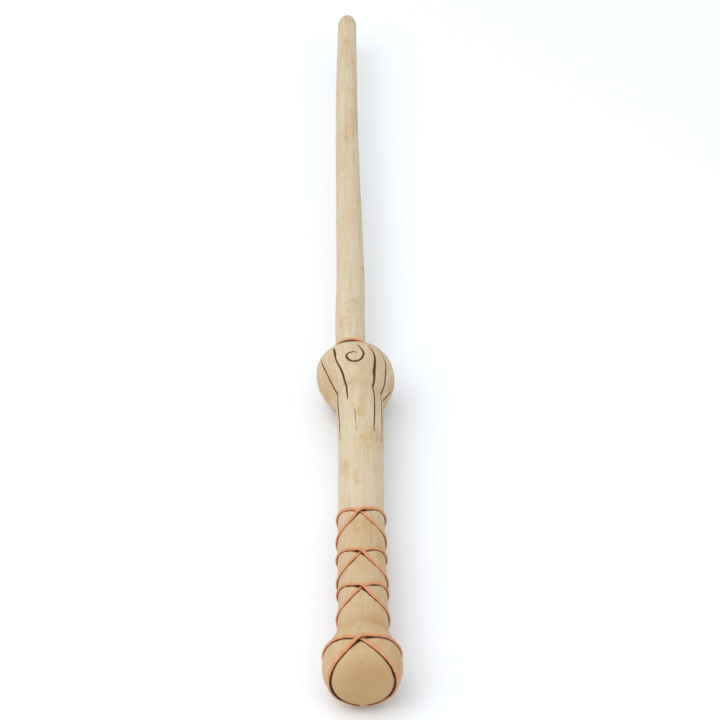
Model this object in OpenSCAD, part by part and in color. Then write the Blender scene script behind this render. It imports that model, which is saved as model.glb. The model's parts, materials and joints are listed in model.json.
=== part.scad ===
// Magic wand: a tapered round shaft tenoned into a carved handle, with a
// round bulb below the shaft, a turned pommel at the other end and one thin
// cord laced round the grip. It lies on the table along Y, tip towards +Y,
// resting on the bulb and the pommel. Origin: centre of the wand, on the
// table. All sizes in millimetres.

/* [Shaft] */
// Length of the shaft that shows, from the bulb to the tip
shaft_length = 205; // [150:1:260]
// Diameter of the shaft where it meets the bulb
shaft_base_d = 10.2; // [9:0.1:12]
// Diameter of the shaft just before its rounded tip
shaft_tip_d = 7.2; // [5:0.1:9]

/* [Handle] */
// Length of the handle, from the pommel to the shaft
handle_length = 135; // [110:1:160]
// Diameter of the grip at its pommel end
grip_d = 15.4; // [13:0.1:18]
// Diameter of the grip at its narrowest, below the bulb
waist_d = 14.7; // [13:0.1:17]
// Distance from the pommel to that narrowest place
waist_at = 80; // [65:1:95]
// Distance over which the grip narrows from the pommel's crease to grip_d
crease_run = 2.5; // [1.5:0.1:4]
// Diameter of the bulb
bulb_d = 26; // [24:0.1:32]
// Distance from the bulb's centre to the face that the shaft stands on
bulb_front = 12; // [11:0.1:13]
// Length of the plain lip, between the bulb and that face
lip_length = 2.5; // [1:0.1:3]
// Radius of the hollow curve between the bulb and the neck
flare_r = 9; // [6:0.5:14]

/* [Carving] */
// Width of the carved lines on the bulb
carve_w = 0.9; // [0.5:0.1:1.4]
// Depth of the carved lines
carve_depth = 0.5; // [0.3:0.1:1]
// Radius of the carved curl on top of the bulb
curl_r = 2.3; // [1.6:0.1:3.2]

/* [Pommel] */
// Length of the pommel
pommel_length = 20; // [17:0.5:26]
// Diameter of the pommel at its widest
pommel_d = 24.6; // [21:0.1:28]
// Radius of the round between the pommel's side and its end face
pommel_round = 9.5; // [8.5:0.1:12]
// Diameter of the flat end face
face_d = 11; // [8:0.1:13]
// Diameter of the pommel where it meets the handle
crease_d = 15.8; // [14:0.1:18]

/* [Inner joinery] */
// Diameter of the shaft's tenon
tenon_d = 7; // [6:0.1:8]
// Length of the shaft's tenon
tenon_length = 14; // [8:0.5:18]
// Diameter of the steel pin across the shaft joint
pin_d = 3; // [2:0.1:4]
// Length of the steel pin
pin_length = 84; // [50:1:100]
// Length of the pin's half that is in the shaft
pin_in_shaft = 44; // [25:1:60]
// Diameter of the dowel between the pommel and the handle
dowel_d = 6; // [5:0.1:8]
// Length of the dowel
dowel_length = 22; // [16:1:30]
// Depth of the dowel in the pommel
dowel_in_pommel = 9.5; // [6:0.5:10]
// Room between a glued tenon, pin or dowel and its bore, all round
glue_gap = 0.1; // [0.05:0.01:0.2]
// Room left at the bottom of each blind bore
bore_relief = 1; // [0.5:0.1:2]

/* [Cord] */
// Diameter of the lacing cord
cord_d = 1.2; // [1:0.1:1.8]
// Diameter of the cord bound round the foot of the shaft
collar_cord_d = 1.4; // [0.8:0.1:1.6]
// Diameter of the peg that wedges the two ends of the lacing
peg_d = 1.8; // [1.5:0.1:2.4]
// Depth of that peg in the pommel
peg_depth = 6; // [4:0.5:7]

/* [Hidden] */
$fn = 96;

wood = "#d9c8ae";
end_wood = "#cbb383";
pale_wood = "#e2cfa9";
steel = "#a8abb0";
orange_cord = "#dd9c6c";

wand_length = pommel_length + handle_length + shaft_length;
bulb_r = bulb_d / 2;
pommel_r = pommel_d / 2;

// Places along the wand, measured from the pommel's end face
handle_start = pommel_length;
shaft_start = pommel_length + handle_length;
bulb_centre = shaft_start - bulb_front;

// The round that forms the pommel's end, and the one that forms its shoulder
round_c = pommel_r - pommel_round;
pommel_widest = sqrt(pow(pommel_round, 2) - pow(face_d / 2 - round_c, 2));
shoulder_drop = pommel_r - crease_d / 2;
shoulder_run = pommel_length - pommel_widest;
shoulder_r = (pow(shoulder_drop, 2) + pow(shoulder_run, 2)) / (2 * shoulder_drop);
shoulder_c = pommel_r - shoulder_r;

// The pommel is thinner than the bulb, so the wand lies with its tip raised
rest_tilt = asin((bulb_r - pommel_r) / (bulb_centre - pommel_widest));

// The hollow flare touches both the neck and the bulb
neck_swell = 0.25;
neck_r = waist_d / 2 + neck_swell;
flare_run = sqrt(pow(bulb_r + flare_r, 2) - pow(neck_r + flare_r, 2));
touch = asin((neck_r + flare_r) / (bulb_r + flare_r));
touch_r = bulb_r * sin(touch);
touch_z = -bulb_r * cos(touch);
// The side of the bulb that faces the shaft is flatter than a ball, and ends
// in a short lip as wide as the middle of the collar's cord
far_r = 18;
lip_r = (shaft_base_d + collar_cord_d) / 2;
far_c = bulb_front - lip_length - sqrt(pow(far_r, 2) - pow(lip_r, 2));

// Carved lines round the bulb: the angle from the top towards +X, how many
// degrees each reaches up the bulb, and its length on down the neck
CARVED = [[-61, 62, 10], [-25, 52, 4], [37, 78, 12], [60, 74, 11], [88, 40, 3],
          [118, 66, 8], [150, 72, 12], [-178, 60, 6], [-146, 74, 11],
          [-116, 58, 7], [-88, 66, 5]];
// How far the carving cutters stand clear of the wood, and the few degrees by
// which the bulb's and the flare's cutters run into each other
carve_proud = 0.8;
carve_lap = 2;
// The curl's place, in degrees from the pommel side over the top of the bulb,
// and where its arc starts and how far it goes round
curl_at = 72;
curl_start = 85;
curl_arc = 285;

// Where the cord crosses itself on top of the grip, from the end face
CROSSINGS = [69.8, 51.2, 35.7, 9.2];
// How far along the wand the cord lies from a crossing, at each turn in degrees
// away from it: below a crossing and above one, in the loop over the first, and
// below the last, where it frames the end face and ends at the peg
BELOW = [[0, 0], [15, 2.1], [30, 4], [45, 5.3], [60, 6], [90, 6.5]];
ABOVE = [[0, 0], [15, 1.3], [30, 2.4], [45, 3.2], [60, 3.7], [90, 4.1]];
TOP_LOOP = [[0, 0], [15, 1.2], [30, 2.1], [45, 2.9], [60, 3.3], [180, 3.3]];
END_LOOP = [[0, 0], [15, 2.3], [30, 4.1], [45, 5.2], [60, 6], [90, 6.7], [135, 7.3],
            [180, 7.7]];
// Which crossings the strand that runs towards +X passes over, every half turn
OVER = [false, true, true, false, true, true, false];
cord_r = cord_d / 2;
cord_gap = 0.12;
cord_sides = 8;
// Turn between two rings of the cord, and half the width of a crossing's hump
step = 12;
hump = 30;
// Last whole rings before the cord's two ends, and before the back of its top
// loop, counted in degrees from the last and the first crossing
last_turn = 13 * step;
first_turn = -14 * step;

// Holds its children in the wand's rest pose on the table
module lying() {
    translate([0, bulb_centre - wand_length / 2, bulb_r])
        rotate([rest_tilt, 0, 0])
            translate([0, -bulb_centre, 0])
                children();
}

// Stands its children's Z along the wand, from a distance off the end face
module along(start) {
    translate([0, start, 0]) rotate([-90, 0, 0]) children();
}

// A round bar from z1 to z2, local Z
module bar(d, z1, z2) {
    translate([0, 0, z1]) cylinder(d = d, h = z2 - z1);
}

// ---- Shaft ----------------------------------------------------------------

tip_r = shaft_tip_d / 2;

module shaft_outline() {
    straight = shaft_length - tip_r;
    polygon([[0, 0], [shaft_base_d / 2, 0], [tip_r, straight], [0, straight]]);
    intersection() {
        translate([0, straight]) circle(r = tip_r);
        translate([0, straight]) square([tip_r, tip_r]);
    }
}

module shaft() {
    color(wood) lying() along(shaft_start)
        difference() {
            union() {
                rotate_extrude() shaft_outline();
                bar(tenon_d, -tenon_length, 1);
            }
            bar(pin_d + 2 * glue_gap, -tenon_length - 1, pin_in_shaft + bore_relief);
        }
}

// ---- Handle ---------------------------------------------------------------

// Half outline of the whole handle, from the pommel's seat to the shaft's
module handle_outline() {
    centre = bulb_centre - handle_start;
    polygon([[0, 0], [crease_d / 2, 0], [grip_d / 2, crease_run], [waist_d / 2, waist_at],
             [neck_r, centre - flare_run], [0, centre - flare_run]]);
    translate([0, centre]) {
        difference() {
            polygon([[0, -flare_run], [neck_r + flare_r, -flare_run],
                     [touch_r, touch_z], [0, touch_z]]);
            translate([neck_r + flare_r, -flare_run]) circle(r = flare_r);
        }
        intersection() {
            circle(r = bulb_r);
            translate([0, far_c]) circle(r = far_r);
            translate([0, touch_z]) square([bulb_r, bulb_front - touch_z]);
        }
        square([lip_r, bulb_front]);
    }
}

// A wedge with its point at the origin, turned from one angle to another
module wedge(from, to) {
    reach = 2 * bulb_d;
    parts = 4;
    polygon([[0, 0], for (k = [0:parts]) let (a = from + (to - from) * k / parts)
        reach * [cos(a), sin(a)]]);
}

// Outline of one carved line seen from the side: a thin band that follows the
// bulb, then the flare and then the neck
module carved_band(up, down) {
    intersection() {
        difference() {
            circle(r = bulb_r + carve_proud);
            circle(r = bulb_r - carve_depth);
        }
        wedge(touch - 90 - carve_lap, touch - 90 + up);
    }
    translate([neck_r + flare_r, -flare_run]) intersection() {
        difference() {
            circle(r = flare_r + carve_depth);
            circle(r = flare_r - carve_proud);
        }
        wedge(90 + touch - carve_lap, 180 + carve_lap / 2);
    }
    translate([neck_r - carve_depth, -flare_run - down])
        square([carve_depth + carve_proud, down]);
}

module carved_line(angle, up, down) {
    rotate([0, 0, angle - 90]) rotate([90, 0, 0]) translate([0, 0, -carve_w / 2])
        linear_extrude(carve_w) carved_band(up, down);
}

// The curl: most of a ring let into the top of the bulb
module carved_curl() {
    depth = sqrt(pow(bulb_r, 2) - pow(curl_r, 2));
    rotate([180 - curl_at, 0, 0]) translate([0, 0, depth]) rotate([0, 0, curl_start])
        rotate_extrude(angle = curl_arc) translate([curl_r, 0]) circle(d = carve_w);
}

module handle() {
    color(wood) lying() difference() {
        along(handle_start) rotate_extrude() handle_outline();
        along(shaft_start) {
            bar(tenon_d + 2 * glue_gap, -tenon_length - bore_relief, 1);
            bar(pin_d + 2 * glue_gap, pin_in_shaft - pin_length - bore_relief, 0);
        }
        along(handle_start)
            bar(dowel_d + 2 * glue_gap, -1,
                dowel_length - dowel_in_pommel + bore_relief);
        along(bulb_centre) {
            for (line = CARVED) carved_line(line[0], line[1], line[2]);
            carved_curl();
        }
    }
}

// ---- Pommel ---------------------------------------------------------------

module pommel_outline() {
    intersection() {
        translate([round_c, pommel_widest]) circle(r = pommel_round);
        square([pommel_r, pommel_widest]);
    }
    intersection() {
        translate([shoulder_c, pommel_widest]) circle(r = shoulder_r);
        translate([0, pommel_widest]) square([pommel_r, shoulder_run]);
    }
}

module pommel() {
    color(end_wood) lying() difference() {
        along(0) rotate_extrude() pommel_outline();
        along(0)
            bar(dowel_d + 2 * glue_gap, pommel_length - dowel_in_pommel - bore_relief,
                pommel_length + 1);
        peg_place() bar(peg_d + 2 * glue_gap, -peg_depth - bore_relief, cord_d);
    }
}

// ---- Inner joinery --------------------------------------------------------

module reinforcing_pin() {
    color(steel) lying() along(shaft_start)
        bar(pin_d, pin_in_shaft - pin_length, pin_in_shaft);
}

module pommel_dowel() {
    color(pale_wood) lying() along(handle_start)
        bar(dowel_d, -dowel_in_pommel, dowel_length - dowel_in_pommel);
}

// ---- Lacing ---------------------------------------------------------------

// Place along the wand of the strand that runs towards +X, at a turn counted
// in degrees from the first crossing on top
turns = len(CROSSINGS) - 1;
function cord_y(turn) =
    let (k = floor(turn / 360), t = turn - 360 * k)
    turn < 0 ? CROSSINGS[0] + lookup(-turn, TOP_LOOP)
    : k >= turns ? CROSSINGS[turns] - lookup(turn - 360 * turns, END_LOOP)
    : t <= 90 ? CROSSINGS[k] - lookup(t, BELOW)
    : t >= 270 ? CROSSINGS[k + 1] + lookup(360 - t, ABOVE)
    : let (from = CROSSINGS[k] - lookup(90, BELOW),
           to = CROSSINGS[k + 1] + lookup(90, ABOVE))
      from + (to - from) * (t - 90) / 180;

// Radius of the wood that the cord lies on, at a place along the wand
function wood_r(y) =
    y < pommel_widest
    ? round_c + sqrt(pow(pommel_round, 2) - pow(pommel_widest - max(y, 0), 2))
    : y < pommel_length ? shoulder_c + sqrt(pow(shoulder_r, 2) - pow(y - pommel_widest, 2))
    : lookup(y - pommel_length,
             [[0, crease_d / 2], [crease_run, grip_d / 2], [waist_at, waist_d / 2]]);

// Radius of the cord's middle, a cord's radius and a gap off the wood, tried at
// a few places each side
lift = cord_r + cord_gap;
tries = 6;
function lie_r(y) =
    max([for (k = [-tries:tries]) let (d = lift * k / tries)
        wood_r(y + d) + sqrt(max(0, lift * lift - d * d))]);

// How far a strand climbs: 1 at a crossing that it passes over, falling to 0
function climb(turn, over) =
    let (k = round(turn / 180), d = abs(turn - 180 * k))
    k < 0 || k > 2 * turns || over != OVER[k] || d > hump ? 0
    : pow(cos(90 * d / hump), 2);

// A point on one strand; side 1 runs towards +X and side -1 towards -X
function cord_point(turn, side) =
    let (y = cord_y(turn),
         r = lie_r(y) + climb(turn, side > 0) * (cord_d + cord_gap))
    [side * r * sin(turn), y, r * cos(turn)];

// Both strands end beside the peg on the pommel's underside
end_y = cord_y(360 * turns + 180);
end_turn = 360 * turns + 180 - asin((peg_d / 2 + cord_gap) / lie_r(end_y));
route = concat(
    [for (t = [end_turn, each [360 * turns + last_turn : -step : first_turn]])
        cord_point(t, -1)],
    [cord_point(-180, 1)],
    [for (t = [each [first_turn : step : 360 * turns + last_turn], end_turn])
        cord_point(t, 1)]);

function unit(v) = v / norm(v);
// One ring of the tube, square to the route and turned with its outward side
function ring(i) =
    let (last = len(route) - 1,
         t = unit(route[min(last, i + 1)] - route[max(0, i - 1)]),
         out = [route[i].x, 0, route[i].z],
         n = unit(out - t * (out * t)), b = cross(t, n))
    [for (k = [0:cord_sides - 1]) let (a = 360 * (k + 0.5) / cord_sides)
        route[i] + cord_r * (cos(a) * n + sin(a) * b)];

module lacing_cord() {
    rings = len(route);
    skin = [for (i = [0:rings - 2]) for (k = [0:cord_sides - 1])
        let (a = i * cord_sides + k, b = i * cord_sides + (k + 1) % cord_sides)
        [a, b, b + cord_sides, a + cord_sides]];
    start = [for (k = [cord_sides - 1:-1:0]) k];
    end = [for (k = [0:cord_sides - 1]) (rings - 1) * cord_sides + k];
    color(orange_cord) lying()
        polyhedron(points = [for (i = [0:rings - 1]) each ring(i)],
                   faces = concat([start], skin, [end]));
}

// Stands its children's Z out of the pommel's underside, square to its round,
// with the origin on the wood below the cord's two ends
peg_lean = asin((pommel_widest - end_y) / (pommel_round + lift));
module peg_place() {
    translate([0, pommel_widest - pommel_round * sin(peg_lean),
               -round_c - pommel_round * cos(peg_lean)])
        rotate([180 - peg_lean, 0, 0]) children();
}

// The peg's head covers both ends of the cord
head_r = 1.6;
head_h = 0.5;
module lacing_peg() {
    head_z = cord_d + 2 * cord_gap;
    color(pale_wood) lying() peg_place() {
        bar(peg_d, -peg_depth, head_z + head_h / 2);
        bar(2 * head_r, head_z, head_z + head_h);
    }
}

// One turn of cord bound round the foot of the shaft
module collar_binding() {
    ring_r = (shaft_base_d + collar_cord_d) / 2 + cord_gap;
    color(orange_cord) lying()
        along(shaft_start + collar_cord_d / 2 + cord_gap)
            rotate_extrude() translate([ring_r, 0]) circle(d = collar_cord_d);
}

shaft();
handle();
pommel();
reinforcing_pin();
pommel_dowel();
lacing_cord();
lacing_peg();
collar_binding();
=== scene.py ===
"""Magic wand: the looks of a carved and laced wooden wand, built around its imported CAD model."""

import json
import math

import bpy
import numpy as np
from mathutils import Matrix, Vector
from mathutils.kdtree import KDTree


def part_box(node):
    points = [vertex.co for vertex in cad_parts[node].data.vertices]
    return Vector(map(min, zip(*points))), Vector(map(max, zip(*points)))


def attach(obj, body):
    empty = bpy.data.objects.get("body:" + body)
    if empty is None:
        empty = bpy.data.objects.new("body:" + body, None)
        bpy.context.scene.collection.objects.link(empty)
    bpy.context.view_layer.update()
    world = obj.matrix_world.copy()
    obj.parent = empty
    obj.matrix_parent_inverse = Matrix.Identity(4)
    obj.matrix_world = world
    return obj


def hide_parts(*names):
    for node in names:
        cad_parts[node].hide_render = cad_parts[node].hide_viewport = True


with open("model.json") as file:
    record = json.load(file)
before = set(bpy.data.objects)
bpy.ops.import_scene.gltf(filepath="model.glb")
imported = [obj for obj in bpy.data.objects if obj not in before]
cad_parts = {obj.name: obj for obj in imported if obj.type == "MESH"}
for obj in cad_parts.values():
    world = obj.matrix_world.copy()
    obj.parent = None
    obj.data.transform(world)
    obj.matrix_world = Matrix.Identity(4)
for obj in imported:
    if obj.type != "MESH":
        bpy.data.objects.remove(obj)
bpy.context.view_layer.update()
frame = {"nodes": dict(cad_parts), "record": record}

bl_info = {
    "name": "Carved Wand Maker",
    "version": (1, 0, 0),
    "blender": (4, 5, 0),
    "location": "View3D > Sidebar > Wand",
    "description": "Makes the carved, laced wooden wand piece by piece",
    "category": "Add Mesh",
}

MM = 0.001

# The wand's own directions, from the mount on the pommel's end face: x to the
# side, y along the wand from that face, z away from the table.
mount = frame["record"]["mounts"][0]
END_FACE = np.array(mount["pos_m"])
ALONG = -np.array(mount["axis"]) / np.linalg.norm(mount["axis"])
SIDE = np.array((1.0, 0.0, 0.0))
UP = np.cross(SIDE, ALONG)


def width_of(node):
    """Width of a CAD node across the wand, in metres."""
    low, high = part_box(node)
    return high.x - low.x


def reach_of(node):
    """Where a CAD node starts and ends along the wand, in mm from the end face."""
    low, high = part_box(node)
    return [(y - END_FACE[1]) / ALONG[1] / MM for y in (low.y, high.y)]


WAND_LENGTH = reach_of("shaft")[1]
POMMEL_LENGTH = round(reach_of("pommel")[1])
SHAFT_START = round(reach_of("handle")[1])


def linear(hex_colour):
    """An sRGB hex colour as the opaque linear colour that shaders take."""
    parts = [int(hex_colour[i:i + 2], 16) / 255 for i in (1, 3, 5)]
    return (*(c / 12.92 if c <= 0.04045 else ((c + 0.055) / 1.055) ** 2.4 for c in parts), 1.0)


# ---- Sizes and colours --------------------------------------------------------


def length(name, description, metres):
    """A length that a user can change, kept in metres."""
    return bpy.props.FloatProperty(
        name=name, description=description, default=metres, min=0.0001, unit="LENGTH", precision=5
    )


def colour(name, description, hex_colour):
    """A colour that a user can change."""
    return bpy.props.FloatVectorProperty(
        name=name, description=description, default=linear(hex_colour)[:3], size=3,
        min=0.0, max=1.0, subtype="COLOR",
    )


class WandSizes(bpy.types.PropertyGroup):
    """Sizes of the wand's wood and cord."""

    bulb: length("Bulb diameter", "Diameter of the carved bulb", width_of("handle"))
    pommel: length("Pommel diameter", "Diameter of the pommel at its widest", width_of("pommel"))
    shaft_foot: length("Shaft foot diameter", "Diameter of the shaft at the bulb", width_of("shaft"))
    shaft_tip: length("Shaft tip diameter", "Diameter of the shaft before its tip", 0.0072)
    neck: length("Neck diameter", "Diameter of the handle just below the bulb", 0.0155)
    crease: length("Crease diameter", "Diameter where the pommel meets the grip", 0.0158)
    cord: length("Cord diameter", "Diameter of the lacing cord", 0.00115)
    collar_cord: length("Collar cord diameter", "Diameter of the cord round the shaft's foot", 0.0014)
    carving: length("Carving depth", "Depth of the carved lines", 0.0005)
    lay: length("Cord lay", "Length of one full twist of the cord's strands", 0.0042)


class WandColours(bpy.types.PropertyGroup):
    """Colours of the wand's finishes."""

    wood: colour("Bleached wood", "Main colour of the shaft and handle", "#CDBDA0")
    wood_warm: colour("Warm streaks", "Warmer streaks along the grain", "#C3AC82")
    wood_rose: colour("Rose streaks", "Pinkish streaks along the grain", "#CDB196")
    end_wood: colour("Pommel wood", "Colour of the pommel's sides", "#CDB996")
    # End grain colour, darkened further as painted shade on the end face
    shaded_end_grain: colour("End grain", "Colour of the pommel's end face", "#B59466")
    # Dark wash: the wash in the carving, and painted shade beside the cord and in the corner at the
    # collar
    wash_and_shade: colour("Dark wash", "Stain left in the carving and beside the cord", "#5A3724")
    cord: colour("Cord", "Colour of the lacing cord", "#D18F62")
    peg: colour("Peg wood", "Colour of the peg and the hidden dowel", "#C2A171")
    steel: colour("Pin steel", "Colour of the hidden steel pin", "#A8ABB0")
    floor: colour("Floor", "Colour of the studio floor", "#F1F3F6")


def sizes():
    """The sizes that the pieces are made with."""
    return bpy.context.scene.wand_sizes


def colours():
    """The colours that the finishes are made with."""
    return bpy.context.scene.wand_colours


# ---- Outline of the wood ------------------------------------------------------


def flowing(y, knots):
    """A smooth curve through (place, value) knots, for an array of places."""
    places, values = np.array(knots, float).T
    slopes = np.gradient(values, places)
    y = np.clip(y, places[0], places[-1])
    i = np.clip(np.searchsorted(places, y, side="right") - 1, 0, len(places) - 2)
    gap = places[i + 1] - places[i]
    t = (y - places[i]) / gap
    a, b, ma, mb = values[i], values[i + 1], slopes[i] * gap, slopes[i + 1] * gap
    return (a + t * ma + t * t * (3 * (b - a) - 2 * ma - mb)
            + t ** 3 * (2 * (a - b) + ma + mb))


def eased(t):
    """Runs gently from 0 to 1 as t does, and stays there beyond."""
    t = np.clip(t, 0, 1)
    return t * t * (3 - 2 * t)


def merged(a, b, width):
    """The larger of two radii, blended where they are closer than a width."""
    return np.maximum(a, b) + np.maximum(width - np.abs(a - b), 0) ** 2 / (4 * width)


# Places along the wand, and the length of the tip's round, in mm
POMMEL_WIDEST = 9
CREASE_AT = 23.5
BULB_CENTRE = SHAFT_START - 12
TIP_ROUND = 7
# Half lengths of the bulb towards the neck and towards the shaft
BULB_BACK = 12
BULB_FRONT = 8.5
# How full each outline is: a half ellipse has 2, and more is squarer
POMMEL_FULLNESS = 3.6
BULB_FULLNESS = 3.2
# How softly the bulb runs into the neck at its sides, and on top and underneath
SIDE_FLARE = 5.5
TOP_FLARE = 13
# Sideways wander of the wand's middle, which grew slightly crooked
WANDER = [(0, 0), (14, 0), (30, 0.5), (60, 0.5), (90, 0.9), (118, 1.25), (130, 0.9), (143, 0),
          (153, -1.0), (200, -1.0), (300, -1.0), (340, -0.4), (360, 0)]


def wood_radius(y, flare=SIDE_FLARE):
    """Radius of the wood in mm, for an array of places along the wand in mm.

    Flare is how softly the bulb runs into the neck.
    """
    s = sizes()
    pommel, bulb, crease = (v / 2 / MM for v in (s.pommel, s.bulb, s.crease))
    foot, tip, neck = (v / 2 / MM for v in (s.shaft_foot, s.shaft_tip, s.neck))
    u = np.clip(1 - y / POMMEL_WIDEST, 0, 1)
    end = pommel * (1 - u ** 2) ** (1 / POMMEL_FULLNESS)
    u = np.clip((y - POMMEL_WIDEST) / (CREASE_AT - POMMEL_WIDEST), 0, 1)
    shoulder = crease + (pommel - crease) * (0.5 + 0.5 * np.cos(np.pi * u)) ** 0.75
    grip = flowing(y, [(20, crease), (CREASE_AT, crease), (30, crease - 0.15), (60, 7.55),
                       (101, 7.35), (118, neck), (150, neck)])
    u = np.clip((BULB_CENTRE - y) / BULB_BACK, 0, 1)
    back = merged(grip, bulb * np.sqrt(1 - u * u), flare)
    u = np.clip((y - BULB_CENTRE) / BULB_FRONT, 0, 1)
    lip = foot + 0.6
    front = merged(bulb * (1 - u ** BULB_FULLNESS) ** (1 / BULB_FULLNESS), lip, 2.0)
    shaft = flowing(y, [(152, foot), (167, foot), (204, 4.8), (247, 4.45), (299, 4.05), (353, tip)])
    u = np.clip((y - WAND_LENGTH + TIP_ROUND) / TIP_ROUND, 0, 1)
    shaft = shaft * np.sqrt(1 - u * u)
    return np.select(
        [y < POMMEL_WIDEST, y < CREASE_AT, y < BULB_CENTRE, y < SHAFT_START],
        [end, shoulder, back, front], shaft)


def in_frame(x, y, z):
    """Places in the wand's own directions, in mm, as places in the frame, in metres."""
    x = x + flowing(y, WANDER)
    return END_FACE + MM * (x[..., None] * SIDE + y[..., None] * ALONG + z[..., None] * UP)


def on_wood(y, turn, height=0.0):
    """Places on the wood, or a height above it in mm. Turn is in radians from the top to +X."""
    r = wood_radius(y) + height
    return in_frame(r * np.sin(turn), y, r * np.cos(turn))


# ---- Mesh helpers -------------------------------------------------------------


def ring_places(start, end, spacing):
    """Places for the rings of a turned piece: spacing(y) mm apart along its outline."""
    fine = 20001
    y = start + (end - start) * eased(np.linspace(0, 1, fine))
    step = np.hypot(np.diff(y), np.diff(wood_radius(y))) / spacing((y[1:] + y[:-1]) / 2)
    count = np.concatenate([[0], np.cumsum(step)])
    return np.interp(np.linspace(0, count[-1], int(count[-1]) + 2), count, y)


def solid_of(name, rings, start, end):
    """A closed mesh from rings of points, with a point that closes each end."""
    count, around = rings.shape[:2]
    points = np.concatenate([rings.reshape(-1, 3), [start], [end]])
    i, j = np.meshgrid(np.arange(count - 1), np.arange(around), indexing="ij")
    k = (j + 1) % around
    quads = np.stack([i * around + j, i * around + k, (i + 1) * around + k, (i + 1) * around + j],
                     -1).reshape(-1, 4)
    j = np.arange(around)
    k = (j + 1) % around
    last, first_pole, last_pole = (count - 1) * around, count * around, count * around + 1
    caps = np.concatenate([
        np.stack([np.full(around, first_pole), k, j], -1),
        np.stack([np.full(around, last_pole), last + j, last + k], -1)])
    mesh = bpy.data.meshes.new(name)
    mesh.from_pydata(points, [], quads.tolist() + caps.tolist())
    mesh.shade_smooth()
    piece = bpy.data.objects.new(name, mesh)
    bpy.context.scene.collection.objects.link(piece)
    return piece


def note(piece, name, values):
    """Stores a number on each point of a piece, for its material."""
    layer = piece.data.attributes.new(name, "FLOAT", "POINT")
    layer.data.foreach_set("value", np.asarray(values, np.float32))


def hand_in(piece, node, material):
    """Gives a piece its material and its body, and hides the CAD node it stands for."""
    if not len(piece.data.polygons):
        raise RuntimeError(f"{piece.name} came out empty")
    if piece.data.materials:
        piece.data.materials[0] = material
    else:
        piece.data.materials.append(material)
    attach(piece, "root")
    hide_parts(node)


def nearest(points, samples):
    """Index of, and distance to, the nearest sample of each point."""
    tree = KDTree(len(samples))
    for i, p in enumerate(samples):
        tree.insert(p, i)
    tree.balance()
    found = [tree.find(p)[1:] for p in points]
    return np.array([f[0] for f in found]), np.array([f[1] for f in found])


# ---- Lacing -------------------------------------------------------------------

# Where the cord crosses itself on top, and how far along the wand it lies from
# a crossing at each turn in degrees: the same numbers as the CAD model's cord
CROSSINGS = [69.8, 51.2, 35.7, 9.2]
BELOW = [(0, 0), (15, 2.1), (30, 4), (45, 5.3), (60, 6), (90, 6.5)]
ABOVE = [(0, 0), (15, 1.3), (30, 2.4), (45, 3.2), (60, 3.7), (90, 4.1)]
TOP_LOOP = [(0, 0), (15, 1.2), (30, 2.1), (45, 2.9), (60, 3.3), (180, 3.3)]
END_LOOP = [(0, 0), (15, 2.3), (30, 4.1), (45, 5.2), (60, 6), (90, 6.7), (135, 7.3), (180, 7.7)]
# Which crossings the strand that runs to +X passes over, every half turn
OVER = [False, True, True, False, True, True, False]
LOOPS = len(CROSSINGS) - 1
# How far the cord is pulled into the wood, in mm, and how much of it still
# stands out where it runs down to the peg
SUNK = 0.42
PROUD = 0.08
# How far round from a crossing one strand rises over the other, and how far they
# rise and sink there, in cord radii
HUMP = math.radians(22)
RISE = 1.7
SINK = 0.3
# Each strand starts behind the first crossing and ends beside the peg
FIRST_TURN = -math.pi
END_TURN = math.radians(360 * LOOPS + 172)
# The turn before its end at which a strand starts to go down, and over how much
LET_IN_FROM = math.radians(60)
LET_IN_OVER = math.radians(35)
STRAND_STEP = math.radians(2.5)
# The crossings sit a little to the left of the top
LACING_TURN = math.radians(-2.5)


def strand_place(turn):
    """Place along the wand of a strand, at each turn in radians from the first crossing."""
    turn = np.degrees(turn)
    knots = [(-t, CROSSINGS[0] + rise) for t, rise in reversed(TOP_LOOP[1:])]
    for k in range(LOOPS):
        knots += [(360 * k + t, CROSSINGS[k] - drop) for t, drop in BELOW]
        knots += [(360 * (k + 1) - t, CROSSINGS[k + 1] + rise) for t, rise in reversed(ABOVE[1:])]
    knots += [(360 * LOOPS + t, CROSSINGS[-1] - drop) for t, drop in END_LOOP]
    return flowing(turn, knots)


def strand(side):
    """Places in mm along the middle of one strand. Side 1 runs to +X, side -1 to -X."""
    turn = np.linspace(FIRST_TURN, END_TURN, round((END_TURN - FIRST_TURN) / STRAND_STEP))
    y = strand_place(turn)
    cord_r = sizes().cord / 2 / MM
    height = cord_r - SUNK
    reach = np.linspace(-height, height, 13)[:, None]
    r = np.max(wood_radius(y + reach) + np.sqrt(height ** 2 - reach ** 2), axis=0)
    for k, first_on_top in enumerate(OVER):
        away = np.clip(np.abs(turn - math.pi * k) / HUMP, 0, 1)
        climb = RISE if first_on_top == (side > 0) else -SINK
        r = r + climb * cord_r * np.cos(away * math.pi / 2) ** 2
    # Towards the peg the groove is deep enough to take the whole cord
    let_in = eased((turn - END_TURN + LET_IN_FROM) / LET_IN_OVER)
    r = r - (2 * cord_r - SUNK - PROUD) * let_in
    turn = side * turn + LACING_TURN
    return in_frame(r * np.sin(turn), y, r * np.cos(turn)) / MM


def outward(points):
    """Unit directions away from the wand's axis at places in mm, and places along it."""
    from_end = points - END_FACE / MM
    along = from_end @ ALONG
    out = from_end - along[:, None] * ALONG
    return out / np.linalg.norm(out, axis=1)[:, None], along


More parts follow.
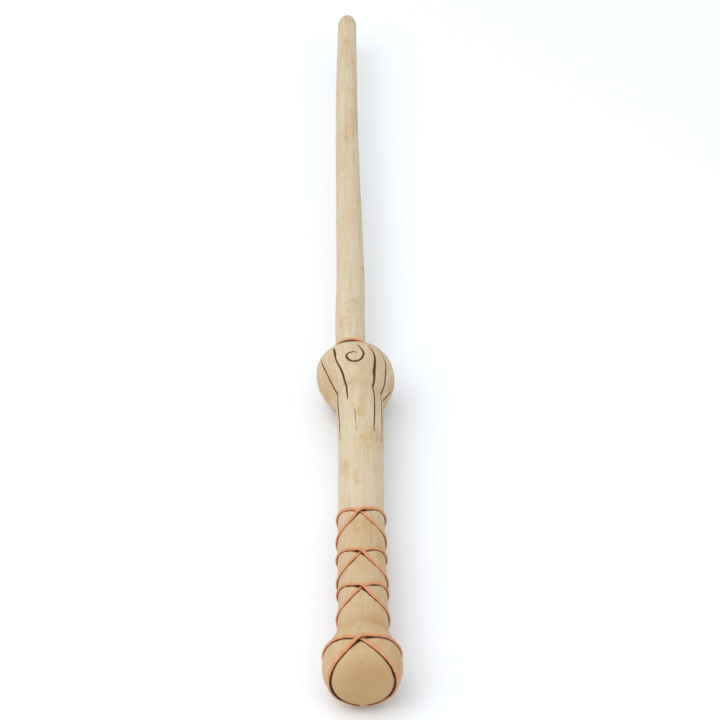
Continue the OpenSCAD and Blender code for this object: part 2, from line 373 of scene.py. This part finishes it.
def beside_cord(points):
    """How far places in mm lie to the side of each strand: towards the pommel is positive."""
    beyond = 0.5
    far_off = 9.0
    offsets = []
    for side in (1, -1):
        path = strand(side)
        index, _ = nearest(points, path)
        ahead = np.gradient(path, axis=0)[index]
        out, _ = outward(path[index])
        across = np.cross(out, ahead)
        across /= np.linalg.norm(across, axis=1)[:, None]
        across *= -np.sign(across @ ALONG)[:, None]
        gap = points - path[index]
        sideways = np.einsum("ij,ij->i", gap, across)
        spare = np.linalg.norm(gap, axis=1) - np.hypot(sideways, np.einsum("ij,ij->i", gap, out))
        # A place past the end of a strand is not beside it
        offsets.append(np.where(spare < beyond, sideways, far_off))
    return offsets


def cord_tree():
    """Geometry Nodes: a twisted cord laid along a path of points."""
    tree = bpy.data.node_groups.new("Laid cord", "GeometryNodeTree")
    face = tree.interface
    face.new_socket(name="Path", in_out="INPUT", socket_type="NodeSocketGeometry")
    for name, kind, default in (
            ("Radius", "Float", 0.0007), ("Lay", "Float", 0.004), ("Relief", "Float", 0.00004),
            ("Sides", "Int", 16), ("Strands", "Int", 3), ("Caps", "Bool", True)):
        socket = face.new_socket(name=name, in_out="INPUT", socket_type="NodeSocket" + kind)
        socket.default_value = default
    face.new_socket(name="Finish", in_out="INPUT", socket_type="NodeSocketMaterial")
    face.new_socket(name="Cord", in_out="OUTPUT", socket_type="NodeSocketGeometry")
    given = add(tree, "NodeGroupInput")
    curve = add(tree, "GeometryNodeMeshToCurve", {"Mesh": given.outputs["Path"]})
    run = add(tree, "GeometryNodeSplineParameter")
    marked = add(tree, "GeometryNodeStoreNamedAttribute", {
        "Geometry": curve.outputs["Curve"], "Name": "run", "Value": run.outputs["Length"]})
    ring = add(tree, "GeometryNodeCurvePrimitiveCircle", {
        "Resolution": given.outputs["Sides"], "Radius": given.outputs["Radius"]})
    part = add(tree, "GeometryNodeSplineParameter")
    marked_ring = add(tree, "GeometryNodeStoreNamedAttribute", {
        "Geometry": ring.outputs["Curve"], "Name": "around", "Value": part.outputs["Factor"]})
    tube = add(tree, "GeometryNodeCurveToMesh", {
        "Curve": marked.outputs["Geometry"], "Profile Curve": marked_ring.outputs["Geometry"],
        "Fill Caps": given.outputs["Caps"]})
    along = add(tree, "GeometryNodeInputNamedAttribute", {"Name": "run"})
    around = add(tree, "GeometryNodeInputNamedAttribute", {"Name": "around"})
    turns = add(tree, "ShaderNodeMath", {0: along.outputs["Attribute"], 1: given.outputs["Lay"]},
                operation="DIVIDE")
    phase = add(tree, "ShaderNodeMath", {0: around.outputs["Attribute"], 1: turns.outputs[0]},
                operation="ADD")
    angle = add(tree, "ShaderNodeMath", {0: phase.outputs[0], 1: given.outputs["Strands"]},
                operation="MULTIPLY")
    half = add(tree, "ShaderNodeMath", {0: angle.outputs[0], 1: math.pi}, operation="MULTIPLY")
    wave = add(tree, "ShaderNodeMath", {0: half.outputs[0]}, operation="SINE")
    bulge = add(tree, "ShaderNodeMath", {0: wave.outputs[0]}, operation="ABSOLUTE")
    kept = add(tree, "GeometryNodeStoreNamedAttribute", {
        "Geometry": tube.outputs["Mesh"], "Name": "strand", "Value": bulge.outputs[0]})
    relief = add(tree, "ShaderNodeMath", {0: bulge.outputs[0], 1: -1.0}, operation="ADD")
    depth = add(tree, "ShaderNodeMath", {0: relief.outputs[0], 1: given.outputs["Relief"]},
                operation="MULTIPLY")
    normal = add(tree, "GeometryNodeInputNormal")
    push = add(tree, "ShaderNodeVectorMath", {0: normal.outputs["Normal"], "Scale": depth.outputs[0]},
               operation="SCALE")
    shaped = add(tree, "GeometryNodeSetPosition", {
        "Geometry": kept.outputs["Geometry"], "Offset": push.outputs[0]})
    smooth = add(tree, "GeometryNodeSetShadeSmooth", {"Geometry": shaped.outputs["Geometry"]})
    real = add(tree, "GeometryNodeRealizeInstances", {"Geometry": smooth.outputs["Geometry"]})
    finished = add(tree, "GeometryNodeSetMaterial", {
        "Geometry": real.outputs["Geometry"], "Material": given.outputs["Finish"]})
    add(tree, "NodeGroupOutput", {"Cord": finished.outputs["Geometry"]})
    return tree


def laid_cord(name, path, radius, material, closed=False):
    """A cord along a path of places in metres: the cord tree's result as a plain mesh."""
    count = len(path)
    links = [(i, (i + 1) % count) for i in range(count if closed else count - 1)]
    mesh = bpy.data.meshes.new(name + "_path")
    mesh.from_pydata(path, links, [])
    guide = bpy.data.objects.new(name + "_path", mesh)
    bpy.context.scene.collection.objects.link(guide)
    tree = bpy.data.node_groups.get("Laid cord") or cord_tree()
    modifier = guide.modifiers.new("Laid cord", "NODES")
    modifier.node_group = tree
    wanted = {"Radius": radius, "Lay": sizes().lay, "Caps": not closed, "Finish": material}
    for item in tree.interface.items_tree:
        if item.item_type == "SOCKET" and item.name in wanted:
            modifier[item.identifier] = wanted[item.name]
    made = bpy.data.meshes.new_from_object(
        guide.evaluated_get(bpy.context.evaluated_depsgraph_get()))
    guide.modifiers.remove(modifier)
    bpy.data.objects.remove(guide)
    made.name = name
    piece = bpy.data.objects.new(name, made)
    bpy.context.scene.collection.objects.link(piece)
    return piece


def wash_and_shade_on_cord(piece, path, wash_and_shade_towards_pommel=0.6):
    """Notes the side of a cord that faces the wood and the pommel, where the wash and painted shade
    stay.
    """
    wash_and_shade_towards_wood = 0.85
    round_end_face = 8
    wash_and_shade_round_end = 0.15
    points = np.empty(len(piece.data.vertices) * 3)
    piece.data.vertices.foreach_get("co", points)
    points = points.reshape(-1, 3) / MM
    index, distance = nearest(points, path)
    gap = (points - path[index]) / distance[:, None]
    out, along = outward(path[index])
    inward = -np.einsum("ij,ij->i", gap, out)
    # Round the end face the cord's pommel side is its outer side, and gets little painted shade
    shade = np.where(along < round_end_face, wash_and_shade_round_end, wash_and_shade_towards_pommel)
    note(piece, "wash_and_shade", wash_and_shade_towards_wood * inward - shade * (gap @ ALONG))


# ---- Carving ------------------------------------------------------------------

# Each carved line: (place along the wand in mm, degrees from the top towards
# +X, width in mm). The first six can be seen from the front; the others carry
# the pattern on round the underside.
CARVED_LINES = [
    [(146.5, -62, 0.3), (143, -60, 0.55), (139, -58, 0.6), (134, -59, 0.6), (130.5, -63, 0.7),
     (126, -66, 0.9), (121, -65, 0.9), (114, -64, 0.8), (108, -64, 0.4)],
    [(146.5, -34, 0.35), (145.2, -33, 0.85), (143, -32.5, 0.95), (141, -33, 0.6),
     (138.5, -31.5, 0.6), (136, -29, 0.75), (133.5, -28, 0.7), (130.5, -30, 0.6),
     (127.5, -30, 0.55), (124.4, -29.5, 0.25)],
    [(121.4, -14, 0.1), (117, -13.5, 0.2), (112, -12.5, 0.18), (108, -12, 0.1)],
    [(146.4, 20, 0.3), (144.2, 25, 0.55), (141.5, 28.5, 0.75), (138, 29.5, 1.05), (135.2, 29, 1.15),
     (133, 31, 0.8), (130, 34.5, 0.6), (127, 36, 0.6), (122, 35.5, 0.55), (114, 33, 0.5),
     (109, 32, 0.25)],
    [(146.5, 38, 0.3), (143.5, 45, 0.45), (140, 51, 0.6), (137, 54, 0.7), (133.5, 60, 0.65),
     (130.5, 65, 0.75), (127, 64.5, 0.8), (121, 62, 0.75), (113, 60, 0.6), (107, 60, 0.3)],
    [(138, 90, 0.4), (135.5, 91, 0.7), (132, 92, 0.6), (129, 91, 0.3)],
    [(146.8, 116, 0.3), (143, 119, 0.6), (138, 118, 0.9), (133, 117, 0.7), (127, 119, 0.5),
     (119, 118, 0.25)],
    [(146.5, 150, 0.3), (142, 152, 0.7), (137, 148, 0.8), (131, 149, 0.6), (122, 152, 0.45),
     (112, 151, 0.25)],
    [(146, 182, 0.3), (141, 180, 0.6), (136, 183, 0.7), (129, 182, 0.5), (121, 180, 0.25)],
    [(146.8, 214, 0.3), (142, 211, 0.7), (137, 213, 0.9), (130, 211, 0.6), (120, 213, 0.4),
     (110, 212, 0.2)],
    [(146, 238, 0.3), (141, 236, 0.6), (136, 236, 0.7), (129, 235, 0.45), (121, 236, 0.25)],
    [(145.5, 262, 0.3), (142, 262, 0.5), (139, 263, 0.45), (136, 263, 0.2)],
]
# The curl on top of the bulb
CURL = [(145.6, 4, 0.35), (143.7, 8, 0.6), (141.8, 11, 0.7), (140, 9.5, 0.75), (138.7, 5, 0.75),
        (138.1, -2, 0.75), (138.4, -9, 0.75), (139.4, -14, 0.85), (140.6, -15.5, 0.8),
        (141.5, -12, 0.65), (141.9, -5, 0.55), (141.7, 1, 0.35)]
# The line across the top of the bulb, just before the collar
CREST = [(148.0, -34, 0.2), (148.1, -25, 0.5), (148.2, -12, 0.7), (148.2, 0, 0.8),
         (148.1, 14, 0.9), (147.7, 25, 0.9), (147.1, 35, 0.3)]
# Half the narrowest carved line, in mm
NARROWEST = 0.08


def carved_path(knots):
    """Close places along one carved line, in mm, and half its width at each."""
    t = np.arange(len(knots), dtype=float)
    per_knot = 60
    fine = np.linspace(0, t[-1], per_knot * len(knots))
    y, turn, width = (flowing(fine, list(zip(t, column))) for column in zip(*knots))
    return on_wood(y, np.radians(turn)) / MM, width / 2


def carve(y, turn):
    """How deep the carving reaches at each place: 1 on a line's middle, 0 or less off it."""
    paths = [carved_path(knots) for knots in CARVED_LINES + [CURL, CREST]]
    places = np.concatenate([p[0] for p in paths])
    halves = np.concatenate([p[1] for p in paths])
    index, distance = nearest(on_wood(y, turn) / MM, places)
    return 1 - distance / np.maximum(halves[index], NARROWEST)


# ---- Materials ----------------------------------------------------------------


def add(tree, kind, links=None, **settings):
    """Adds a node with its settings, and links or sets its inputs."""
    node = tree.nodes.new(kind)
    for name, value in settings.items():
        setattr(node, name, value)
    for name, value in (links or {}).items():
        if isinstance(value, bpy.types.NodeSocket):
            tree.links.new(value, node.inputs[name])
        else:
            node.inputs[name].default_value = value
    return node


def new_material(name):
    """A material with only its output and its shader, and their tree."""
    material = bpy.data.materials.new(name)
    material.use_nodes = True
    tree = material.node_tree
    tree.nodes.clear()
    shader = add(tree, "ShaderNodeBsdfPrincipled")
    add(tree, "ShaderNodeOutputMaterial", {"Surface": shader.outputs["BSDF"]})
    return material, tree, shader


def glazed(tree, below, glaze, pattern, low, high, thin=0.0, full=1.0):
    """A glaze over a colour: thin where a pattern is below low, and full above high."""
    amount = add(tree, "ShaderNodeMapRange", {
        "Value": pattern, "From Min": low, "From Max": high, "To Min": thin, "To Max": full},
        interpolation_type="SMOOTHSTEP")
    coat = add(tree, "ShaderNodeMix", {"Factor": amount.outputs["Result"], 6: below, 7: glaze},
               data_type="RGBA")
    return coat.outputs[2]


def grain(tree, width, run, detail=2.0, offset=0.0):
    """Noise stretched along the wand: features width mm across and run mm long."""
    place = add(tree, "ShaderNodeTexCoord").outputs["Object"]
    across, along = 1 / (width * MM), 1 / (run * MM)
    turned = add(tree, "ShaderNodeMapping", {
        "Vector": place, "Location": (offset, offset, offset), "Scale": (across, along, across)})
    return add(tree, "ShaderNodeTexNoise", {
        "Vector": turned.outputs["Vector"], "Scale": 1.0, "Detail": detail, "Roughness": 0.55}
    ).outputs["Fac"]


def bleached_wood(name, main, warm, rose, end_grain_and_shade=None):
    """Pale hardwood, bleached, sanded and wiped with a dark wash.

    Sanding leaves it matte, with faint streaks about a millimetre wide along
    the grain, warmer patches a couple of centimetres long, and fine open pores.
    The wash stays dark in the carving; beside the cord it is wash with painted shade.
    """
    material, tree, shader = new_material(name)
    tone = glazed(tree, (*main, 1), (*warm, 1), grain(tree, 7, 24), 0.45, 0.75, 0, 0.75)
    tone = glazed(tree, tone, (*rose, 1), grain(tree, 2.6, 30, 2, 7.0), 0.5, 0.72, 0, 0.8)
    # Handling has left tan patches about a centimetre across
    tone = glazed(tree, tone, linear("#BE9A68"), grain(tree, 8, 11, 4, 21.0), 0.54, 0.72, 0, 0.6)
    streaks = grain(tree, 0.9, 26, 3, 3.0)
    tone = glazed(tree, tone, linear("#DCD0B6"), streaks, 0.52, 0.75, 0, 0.5)
    tone = glazed(tree, tone, linear("#AC9069"), streaks, 0.30, 0.45, 0.35, 0)
    pores = grain(tree, 0.22, 4.5, 2, 11.0)
    tone = glazed(tree, tone, linear("#9A7C58"), pores, 0.28, 0.42, 0.45, 0)
    stains = [("stain", linear("#B98B58"))]
    # The end face darkens for its end grain and as painted shade
    if end_grain_and_shade:
        stains.insert(0, ("end_grain_and_shade", (*end_grain_and_shade, 1)))
    for layer, tint in stains:
        amount = add(tree, "ShaderNodeAttribute", attribute_name=layer)
        tone = add(tree, "ShaderNodeMix", {"Factor": amount.outputs["Fac"], 6: tone, 7: tint},
                   data_type="RGBA").outputs[2]
    # The wash and painted shade are brown at their edge and darker further in
    dark = add(tree, "ShaderNodeAttribute", attribute_name="wash_and_shade").outputs["Fac"]
    tone = glazed(tree, tone, linear("#8F5F3C"), dark, -0.15, 0.15)
    tone = glazed(tree, tone, (*colours().wash_and_shade, 1), dark, 0.0, 0.45)
    tree.links.new(tone, shader.inputs["Base Color"])
    rough = add(tree, "ShaderNodeMapRange", {
        "Value": streaks, "From Min": 0.3, "From Max": 0.7, "To Min": 0.66, "To Max": 0.78},
        interpolation_type="SMOOTHSTEP")
    tree.links.new(rough.outputs["Result"], shader.inputs["Roughness"])
    shader.inputs["IOR"].default_value = 1.45
    shader.inputs["Specular IOR Level"].default_value = 0.3
    height = add(tree, "ShaderNodeMath", {0: pores, 1: streaks}, operation="ADD").outputs[0]
    bump = add(tree, "ShaderNodeBump", {"Height": height, "Strength": 0.25, "Distance": 0.00006})
    tree.links.new(bump.outputs["Normal"], shader.inputs["Normal"])
    return material


def shared_wood():
    """The bleached wood that the shaft and the handle share."""
    name = "Bleached sanded hardwood"
    c = colours()
    return bpy.data.materials.get(name) or bleached_wood(name, c.wood, c.wood_warm, c.wood_rose)


def waxed_cord():
    """Waxed leather lacing: matte orange-brown.

    Its strands are the mesh's own twist, with painted shade in the grooves between
    them. The dark wash, with painted shade, stays on the side that lies against
    the wood and towards the pommel.
    """
    name = "Waxed leather cord"
    if name in bpy.data.materials:
        return bpy.data.materials[name]
    material, tree, shader = new_material(name)
    patch = grain(tree, 2.2, 2.6, 3, 5.0)
    tone = glazed(tree, (*colours().cord, 1), linear("#DCA478"), patch, 0.5, 0.72, 0, 0.8)
    tone = glazed(tree, tone, linear("#C27A4E"), patch, 0.3, 0.46, 0.7, 0)
    # Painted shade in the grooves between the cord's twisted strands
    strand_grooves_shade = add(tree, "ShaderNodeAttribute", attribute_name="strand").outputs["Fac"]
    tone = glazed(tree, tone, linear("#B06A40"), strand_grooves_shade, 0.0, 0.35, 0.5, 0)
    # Dark wash and painted shade on the cord's side against the wood and towards the pommel, with
    # ragged edges
    wash_and_shade = add(tree, "ShaderNodeAttribute", attribute_name="wash_and_shade").outputs["Fac"]
    ragged = add(tree, "ShaderNodeMath", {0: grain(tree, 0.9, 0.9, 3, 9.0), 1: 0.9, 2: wash_and_shade},
                 operation="MULTIPLY_ADD").outputs[0]
    tone = glazed(tree, tone, linear("#8A5030"), ragged, 0.55, 0.85)
    tone = glazed(tree, tone, (*colours().wash_and_shade, 1), ragged, 0.75, 1.0)
    tree.links.new(tone, shader.inputs["Base Color"])
    shader.inputs["Roughness"].default_value = 0.62
    shader.inputs["IOR"].default_value = 1.48
    shader.inputs["Specular IOR Level"].default_value = 0.35
    bump = add(tree, "ShaderNodeBump", {
        "Height": grain(tree, 0.12, 0.5, 2, 2.0), "Strength": 0.3, "Distance": 0.00004})
    tree.links.new(bump.outputs["Normal"], shader.inputs["Normal"])
    return material


def dowel_wood():
    """Planed hardwood dowel: plain and pale, with fine straight grain and a soft sheen."""
    name = "Planed hardwood dowel"
    if name in bpy.data.materials:
        return bpy.data.materials[name]
    material, tree, shader = new_material(name)
    fibres = grain(tree, 0.5, 9)
    tone = glazed(tree, (*colours().peg, 1), linear("#AC8A5A"), fibres, 0.4, 0.7, 0, 0.8)
    tree.links.new(tone, shader.inputs["Base Color"])
    shader.inputs["Roughness"].default_value = 0.55
    shader.inputs["IOR"].default_value = 1.45
    bump = add(tree, "ShaderNodeBump", {
        "Height": grain(tree, 0.2, 5), "Strength": 0.2, "Distance": 0.00004})
    tree.links.new(bump.outputs["Normal"], shader.inputs["Normal"])
    return material


def drawn_steel():
    """Cold-drawn steel rod: grey, with fine scratches along its length from the die."""
    material, tree, shader = new_material("Drawn steel rod")
    scratch = grain(tree, 0.15, 30, 2)
    tone = glazed(tree, (*colours().steel, 1), linear("#83868C"), scratch, 0.4, 0.7, 0, 0.7)
    tree.links.new(tone, shader.inputs["Base Color"])
    shader.inputs["Metallic"].default_value = 1.0
    rough = add(tree, "ShaderNodeMapRange", {
        "Value": scratch, "From Min": 0.35, "From Max": 0.7, "To Min": 0.28, "To Max": 0.45},
        interpolation_type="SMOOTHSTEP")
    tree.links.new(rough.outputs["Result"], shader.inputs["Roughness"])
    return material


# ---- Turned wood --------------------------------------------------------------

# Points in each ring
AROUND_SHAFT = 144
AROUND_HANDLE = 300
AROUND_POMMEL = 256
# The carving starts beyond the first place, and the lacing ends before the second
CARVED_FROM = 104
LACED_TO = 75


def turned_piece(name, start, end, spacing, around, shape):
    """A turned piece between two places, with the place and turn of each of its points.

    Spacing gives the gap between rings at each place, and shape the height of
    each point over the outline, both in mm.
    """
    y_all, turn = np.meshgrid(
        ring_places(start, end, spacing), np.linspace(0, 2 * math.pi, around, endpoint=False),
        indexing="ij")
    height = shape(y_all, turn)
    # An end of the wand closes to a point, which stands in for its last ring
    kept = slice(1 if start == 0 else None, -1 if end == WAND_LENGTH else None)
    y_all, turn, height = y_all[kept], turn[kept], height[kept]
    rings = on_wood(y_all, turn, height)
    poles = in_frame(np.zeros(2), np.array([start, end], float), np.zeros(2))
    piece = solid_of(name, rings, *poles)
    flat_y = np.concatenate([y_all.ravel(), [start, end]])
    flat_turn = np.concatenate([turn.ravel(), [0, 0]])
    return piece, flat_y, flat_turn


def uneven(y, turn):
    """The slight waviness that hand sanding leaves, in mm."""
    return (0.05 * np.sin(2 * turn + y / 19) + 0.04 * np.sin(3 * turn - y / 11 + 1)
            + 0.04 * np.sin(y / 7 + 2 * np.cos(turn)))


def groove_depth(y, turn):
    """How far the wood is pressed in under the cord, in mm, and the wash with painted shadow beside
    it.
    """
    offsets = beside_cord(on_wood(y, turn) / MM)
    half = sizes().cord / 2 / MM
    depth = SUNK * np.max([np.exp(-(o / half) ** 2) for o in offsets], axis=0)
    # The wash and painted shadow reach furthest beside the crossings, and least round the end face
    from_top = np.abs((turn - LACING_TURN + math.pi) % (2 * math.pi) - math.pi)
    on_grip = y > POMMEL_LENGTH
    reach = half + np.where(on_grip, 0.22, 0.1)
    reach = reach + np.where(on_grip, 0.4, 0.15) * np.exp(-((from_top - 0.45) / 0.35) ** 2)
    reach = reach - 0.25 * np.clip((8 - y) / 4, 0, 1)
    reach = reach + 0.11 * np.sin(5 * turn + y) + 0.1 * np.sin(11 * turn - 2 * y)
    # Dark wash with painted shadow, mostly on each strand's side towards the pommel
    wash_and_shade = np.max([np.minimum((o + 0.3) / 0.5, (reach - o) / 0.35) for o in offsets], axis=0)
    return depth, wash_and_shade


def handling_stain(y, turn):
    """Soft brown stain: in the crease, over the laced grip and on the bulb."""
    crease = (0.3 + 0.15 * np.sin(3 * turn)) * np.exp(-((y - 21.5) / 2.2) ** 2)
    laced = 0.42 / (1 + np.exp((y - 70) / 2.5))
    bulb = 0.1 * np.exp(-((y - 136) / 12) ** 2) * (2.2 + np.sin(4 * turn))
    return crease + laced + bulb


# ---- Operators ----------------------------------------------------------------


class WAND_OT_shaft(bpy.types.Operator):
    """Makes the tapered shaft"""

    bl_idname = "wand.shaft"
    bl_label = "Make shaft"

    def execute(self, context):
        def shape(y, turn):
            return 0.5 * uneven(y, turn) * np.clip((WAND_LENGTH - y) / 20, 0, 1)

        piece, y, _ = turned_piece(
            "shaft_wood", SHAFT_START, WAND_LENGTH,
            lambda y: np.where(y < WAND_LENGTH - 10, 0.9, 0.3), AROUND_SHAFT, shape)
        note(piece, "wash_and_shade", np.full(len(y), -1.0))
        note(piece, "stain", 0.5 * np.exp(-((y - SHAFT_START) / 2.5) ** 2))
        hand_in(piece, "shaft", shared_wood())
        return {"FINISHED"}


class WAND_OT_handle(bpy.types.Operator):
    """Makes the handle with its carved bulb"""

    bl_idname = "wand.handle"
    bl_label = "Make handle"

    def execute(self, context):
        kept = {}

        def shape(y, turn):
            flat_y, flat_turn = y.ravel(), turn.ravel()
            cut = np.full(flat_y.size, -1.0)
            near = flat_y > CARVED_FROM
            cut[near] = carve(flat_y[near], flat_turn[near])
            depth, wash_and_shade = np.zeros(flat_y.size), np.full(flat_y.size, -1.0)
            near = flat_y < LACED_TO
            depth[near], wash_and_shade[near] = groove_depth(flat_y[near], flat_turn[near])
            # Dark wash and painted shade in the corner between the bulb and the collar
            corner_wash_and_shade = np.minimum((flat_y - SHAFT_START + 2.4 + 0.4 * np.sin(4 * flat_turn)) / 0.8, 1)
            kept["wash_and_shade"] = np.clip(np.maximum.reduce([cut, wash_and_shade, corner_wash_and_shade]), -1, 1)
            kept["stain"] = handling_stain(flat_y, flat_turn)
            groove = np.clip(cut, 0, 1)
            down = sizes().carving / MM * (1 - (1 - groove) ** 2) + depth
            # The bulb runs more softly into the neck on top and underneath
            flare = wood_radius(flat_y, TOP_FLARE) - wood_radius(flat_y)
            soft = np.abs(np.cos(flat_turn)) * flare * eased((BULB_CENTRE - 4 - flat_y) / 8)
            rough = uneven(flat_y, flat_turn) * np.clip((flat_y - 80) / 20, 0, 1)
            return (rough + soft - down).reshape(y.shape)

        piece, _, _ = turned_piece(
            "handle_wood", POMMEL_LENGTH, SHAFT_START,
            lambda y: np.select([y < LACED_TO + 1, y < CARVED_FROM], [0.52, 1.0], 0.3),
            AROUND_HANDLE, shape)
        # The two end points are the middle of the pommel's seat and of the shaft's
        note(piece, "wash_and_shade", np.concatenate([kept["wash_and_shade"], [-1, 1]]))
        note(piece, "stain", np.concatenate([kept["stain"], [0, 0]]))
        hand_in(piece, "handle", shared_wood())
        return {"FINISHED"}


class WAND_OT_pommel(bpy.types.Operator):
    """Makes the turned pommel"""

    bl_idname = "wand.pommel"
    bl_label = "Make pommel"

    def execute(self, context):
        kept = {}

        def shape(y, turn):
            depth, wash_and_shade = groove_depth(y.ravel(), turn.ravel())
            kept["wash_and_shade"] = np.clip(wash_and_shade, -1, 1)
            return -depth.reshape(y.shape)

        piece, y, turn = turned_piece(
            "pommel_wood", 0, POMMEL_LENGTH, lambda y: 0.32 + 0 * y, AROUND_POMMEL, shape)
        wash_and_shade = kept["wash_and_shade"][AROUND_POMMEL:]
        note(piece, "wash_and_shade", np.concatenate([wash_and_shade, [-1, -1]]))
        note(piece, "stain", handling_stain(y, turn))
        # The end face is darker: its end grain, and painted shade where it turns from the light
        note(piece, "end_grain_and_shade", 0.75 * np.clip((3.6 - y + 0.8 * np.sin(2 * turn + 1)) / 3.4, 0, 1))
        c = colours()
        wood = bleached_wood(
            "Bleached hardwood end grain", c.end_wood, c.wood_warm, c.wood, c.shaded_end_grain)
        hand_in(piece, "pommel", wood)
        return {"FINISHED"}


class WAND_OT_lacing(bpy.types.Operator):
    """Lays the lacing cord round the grip and the pommel"""

    bl_idname = "wand.lacing"
    bl_label = "Lay lacing"

    def execute(self, context):
        path = np.concatenate([strand(-1)[::-1], strand(1)[1:]])
        piece = laid_cord("lacing", path * MM, sizes().cord / 2, waxed_cord())
        wash_and_shade_on_cord(piece, path)
        hand_in(piece, "lacing_cord", waxed_cord())
        return {"FINISHED"}


class WAND_OT_collar(bpy.types.Operator):
    """Binds one turn of cord round the foot of the shaft"""

    bl_idname = "wand.collar"
    bl_label = "Bind collar"

    def execute(self, context):
        radius = sizes().collar_cord / 2
        turn = np.linspace(0, 2 * math.pi, 120, endpoint=False)
        off_shaft = 0.2
        off_bulb = 0.5
        out = (sizes().shaft_foot / 2 + radius) / MM + off_shaft
        y = np.full(turn.size, SHAFT_START + radius / MM + off_bulb)
        path = in_frame(out * np.sin(turn), y, out * np.cos(turn))
        piece = laid_cord("collar", path, radius, waxed_cord(), closed=True)
        # The collar's side towards the bulb gets more wash and painted shade
        wash_and_shade_on_cord(piece, path / MM, wash_and_shade_towards_pommel=1.3)
        hand_in(piece, "collar_binding", waxed_cord())
        return {"FINISHED"}


class WAND_OT_peg(bpy.types.Operator):
    """Sets the small peg that holds the two ends of the cord"""

    bl_idname = "wand.peg"
    bl_label = "Set peg"

    def execute(self, context):
        low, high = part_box("lacing_peg")
        y = CROSSINGS[-1] - END_LOOP[-1][1]
        near = np.array([y - 0.05, y + 0.05])
        slope = np.diff(wood_radius(near))[0] / 0.1
        out = np.array([0, -slope, -1.0]) / math.hypot(slope, 1)
        foot = np.array([0, y, -wood_radius(np.array([y]))[0]])
        across = np.cross(out, (1, 0, 0))
        head_r = (high.x - low.x) / 2 / MM
        # Height over the wood and radius of each ring of the plug's low dome
        profile = [(-1.5, head_r * 0.8), (-0.1, head_r * 0.8), (0.08, head_r * 0.72),
                   (0.18, head_r * 0.5), (0.23, head_r * 0.2)]
        turn = np.linspace(0, 2 * math.pi, 48, endpoint=False)
        circle = np.cos(turn)[:, None] * across + np.sin(turn)[:, None] * np.array([1.0, 0, 0])
        rings = np.array([foot + out * height + circle * r for height, r in profile])
        ends = foot + out * -1.5, foot + out * 0.24
        rings, ends = (in_frame(p[..., 0], p[..., 1], p[..., 2]) for p in (rings, np.array(ends)))
        piece = solid_of("peg", rings, *ends)
        hand_in(piece, "lacing_peg", dowel_wood())
        return {"FINISHED"}


class WAND_OT_joinery(bpy.types.Operator):
    """Finishes the steel pin and the dowel inside the wood"""

    bl_idname = "wand.joinery"
    bl_label = "Finish hidden joinery"

    def execute(self, context):
        for node, material in (("reinforcing_pin", drawn_steel()), ("pommel_dowel", dowel_wood())):
            for slot in frame["nodes"][node].material_slots:
                slot.material = material
        return {"FINISHED"}


class WAND_OT_stage(bpy.types.Operator):
    """Sets the floor, the light and the camera"""

    bl_idname = "wand.stage"
    bl_label = "Set stage"

    def execute(self, context):
        scene = context.scene
        mesh = bpy.data.meshes.new("floor")
        mesh.from_pydata([(-4, -4, 0), (4, -4, 0), (4, 4, 0), (-4, 4, 0)], [], [(0, 1, 2, 3)])
        floor = bpy.data.objects.new("floor", mesh)
        scene.collection.objects.link(floor)
        paper, _, shader = new_material("Matte white paper backdrop")
        shader.inputs["Base Color"].default_value = (*colours().floor, 1)
        shader.inputs["Roughness"].default_value = 0.9
        shader.inputs["Specular IOR Level"].default_value = 0.1
        mesh.materials.append(paper)

        world = bpy.data.worlds.new("Studio")
        world.use_nodes = True
        background = world.node_tree.nodes["Background"]
        background.inputs["Color"].default_value = (0.93, 0.965, 1, 1)
        background.inputs["Strength"].default_value = 0.87
        scene.world = world

        for name, place, power, size in (
                ("key_light", (-0.5, -0.25, 1.0), 6.6, 1.2),
                ("fill_light", (0.5, -0.7, 1.0), 1.0, 1.2)):
            lamp = bpy.data.lights.new(name, "AREA")
            lamp.energy, lamp.size = power, size
            lamp.color = (1.0, 0.985, 0.965)
            light = bpy.data.objects.new(name, lamp)
            light.location = place
            light.rotation_euler = Vector(place).to_track_quat("Z", "Y").to_euler()
            scene.collection.objects.link(light)

        view = bpy.data.cameras.new("camera")
        view.lens, view.sensor_width = 150, 36
        camera = bpy.data.objects.new("camera", view)
        camera.location = (-0.0112, -0.8058, 0.6664)
        camera.rotation_euler = (math.radians(50), 0, math.radians(-0.94))
        scene.collection.objects.link(camera)
        scene.camera = camera
        scene.view_settings.view_transform = "Standard"
        return {"FINISHED"}


class WAND_PT_panel(bpy.types.Panel):
    """Lists the wand's pieces, sizes and colours"""

    bl_label = "Carved wand"
    bl_idname = "WAND_PT_panel"
    bl_space_type = "VIEW_3D"
    bl_region_type = "UI"
    bl_category = "Wand"

    def draw(self, context):
        for group in (context.scene.wand_sizes, context.scene.wand_colours):
            column = self.layout.column(align=True)
            for name in group.__annotations__:
                column.prop(group, name)
        for maker in MAKERS:
            self.layout.operator(maker.bl_idname)


MAKERS = (WAND_OT_stage, WAND_OT_lacing, WAND_OT_collar, WAND_OT_shaft, WAND_OT_handle,
          WAND_OT_pommel, WAND_OT_peg, WAND_OT_joinery)
CLASSES = (WandSizes, WandColours, *MAKERS, WAND_PT_panel)


def register():
    """Adds the classes and the scene's sizes and colours."""
    for cls in CLASSES:
        bpy.utils.register_class(cls)
    bpy.types.Scene.wand_sizes = bpy.props.PointerProperty(type=WandSizes)
    bpy.types.Scene.wand_colours = bpy.props.PointerProperty(type=WandColours)


def unregister():
    """Takes away what register added."""
    del bpy.types.Scene.wand_colours
    del bpy.types.Scene.wand_sizes
    for cls in reversed(CLASSES):
        bpy.utils.unregister_class(cls)


def main():
    """Makes every piece and the stage."""
    register()
    for maker in MAKERS:
        group, name = maker.bl_idname.split(".")
        getattr(getattr(bpy.ops, group), name)()
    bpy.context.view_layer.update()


if __name__ == "__main__":
    main()
